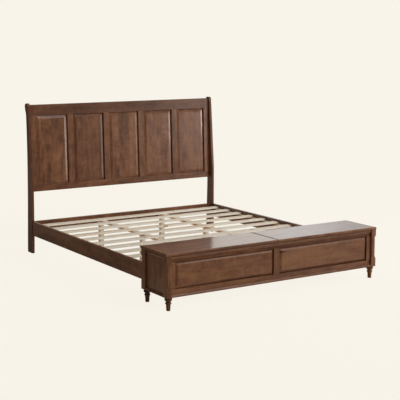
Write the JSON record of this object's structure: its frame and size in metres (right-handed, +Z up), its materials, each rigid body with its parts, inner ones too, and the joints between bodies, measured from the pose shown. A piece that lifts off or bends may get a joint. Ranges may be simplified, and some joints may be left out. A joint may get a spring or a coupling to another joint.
{
  "type": "bed with blanket chest footboard",
  "caption": "Slatted bed with a raised-panel headboard between scrolled posts and a lidded, panelled blanket chest on turned feet in place of a footboard.",
  "frame": {"origin": "on the floor, at the centre of the whole bed's footprint", "axes": "+X across the bed, towards its right side seen from the chest end; +Y along the bed from the chest to the headboard; +Z up"},
  "size_m": [2.04, 2.55, 1.393],
  "materials": {
    "walnut": "dark walnut stain under a satin clear lacquer, grain showing",
    "pale_wood": "planed pale softwood, unfinished",
    "steel": "plain zinc-grey steel, light brushing"
  },
  "bodies": {
    "bed": {"headboard_post_left": "walnut", "headboard_post_right": "walnut", "headboard_top_rail": "walnut", "headboard_bottom_rail": "walnut", "headboard_stile_1": "walnut", "headboard_stile_2": "walnut", "headboard_stile_3": "walnut", "headboard_stile_4": "walnut", "headboard_stile_5": "walnut", "headboard_stile_6": "walnut", "headboard_panel_1": "walnut", "headboard_panel_2": "walnut", "headboard_panel_3": "walnut", "headboard_panel_4": "walnut", "headboard_panel_5": "walnut", "head_cross_rail": "walnut", "side_rail_left": "walnut", "side_rail_right": "walnut", "slat_ledge_left": "pale_wood", "slat_ledge_right": "pale_wood", "slats": "pale_wood", "centre_beam_left": "pale_wood", "centre_beam_right": "pale_wood", "beam_legs_left": "pale_wood", "beam_legs_right": "pale_wood", "beam_brackets": "steel", "rail_hook_plates": "steel", "post_slot_plates": "steel", "chest_post_front_left": "walnut", "chest_post_front_right": "walnut", "chest_post_rear_left": "walnut", "chest_post_rear_right": "walnut", "chest_foot_front_left": "walnut", "chest_foot_front_right": "walnut", "chest_foot_rear_left": "walnut", "chest_foot_rear_right": "walnut", "chest_front_top_rail": "walnut", "chest_front_bottom_rail": "walnut", "chest_stile_left": "walnut", "chest_stile_centre": "walnut", "chest_stile_right": "walnut", "chest_front_panel_left": "walnut", "chest_front_panel_right": "walnut", "chest_end_panel_left": "walnut", "chest_end_panel_right": "walnut", "chest_back_panel": "walnut", "chest_hinge_rail": "walnut", "chest_bottom_board": "pale_wood", "chest_divider": "pale_wood", "cornice_strips": "walnut", "base_mouldings": "walnut", "hinge_leaves_chest": "steel", "hinge_pins": "steel", "hinge_screws_chest": "steel"},
    "lid_left": {"chest_lid_left": "walnut", "hinge_leaves_lid_left": "steel", "hinge_screws_lid_left": "steel"},
    "lid_right": {"chest_lid_right": "walnut", "hinge_leaves_lid_right": "steel", "hinge_screws_lid_right": "steel"}
  },
  "joints": [
    {"name": "lid_left_hinge", "type": "hinge", "parent": "bed", "child": "lid_left", "pos_m": [-0.51, -0.8905, 0.411], "axis": [-1, 0, 0], "range_deg": [0, 85]},
    {"name": "lid_right_hinge", "type": "hinge", "parent": "bed", "child": "lid_right", "pos_m": [0.51, -0.8905, 0.411], "axis": [-1, 0, 0], "range_deg": [0, 85]}
  ]
}
